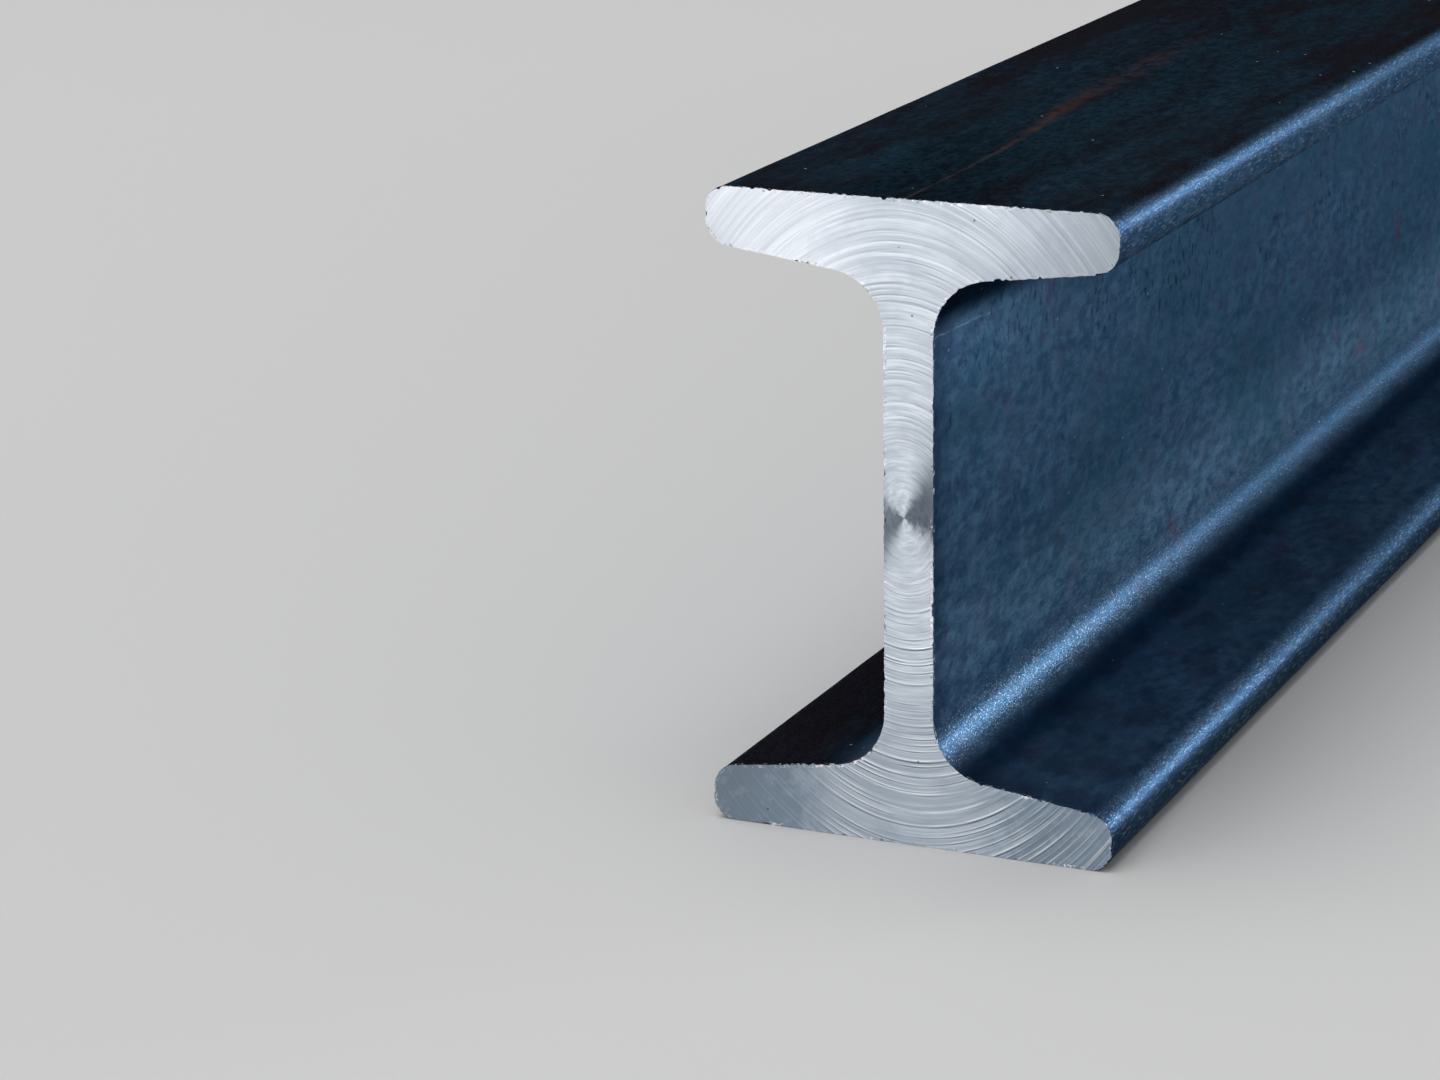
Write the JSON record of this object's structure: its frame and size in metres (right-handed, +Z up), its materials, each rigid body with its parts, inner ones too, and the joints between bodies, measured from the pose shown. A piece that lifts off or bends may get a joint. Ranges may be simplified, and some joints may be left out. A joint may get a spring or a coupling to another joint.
{
  "type": "steel i-beam",
  "caption": "Rolled steel I-section with tapered, round-edged flanges and rounded roots, cut and faced square at both ends.",
  "frame": {"origin": "bottom centre: the middle of the lower flange's outer face", "axes": "+Y along the beam, away from the end that the picture shows; +Z up, along the section's height; +X across the flanges"},
  "size_m": [0.065, 1, 0.1],
  "materials": {
    "rolled_steel": "dark blue-grey mill scale with traces of rust, bright turned faces at both ends"
  },
  "bodies": {
    "root": {"i_beam": "rolled_steel"}
  },
  "joints": []
}
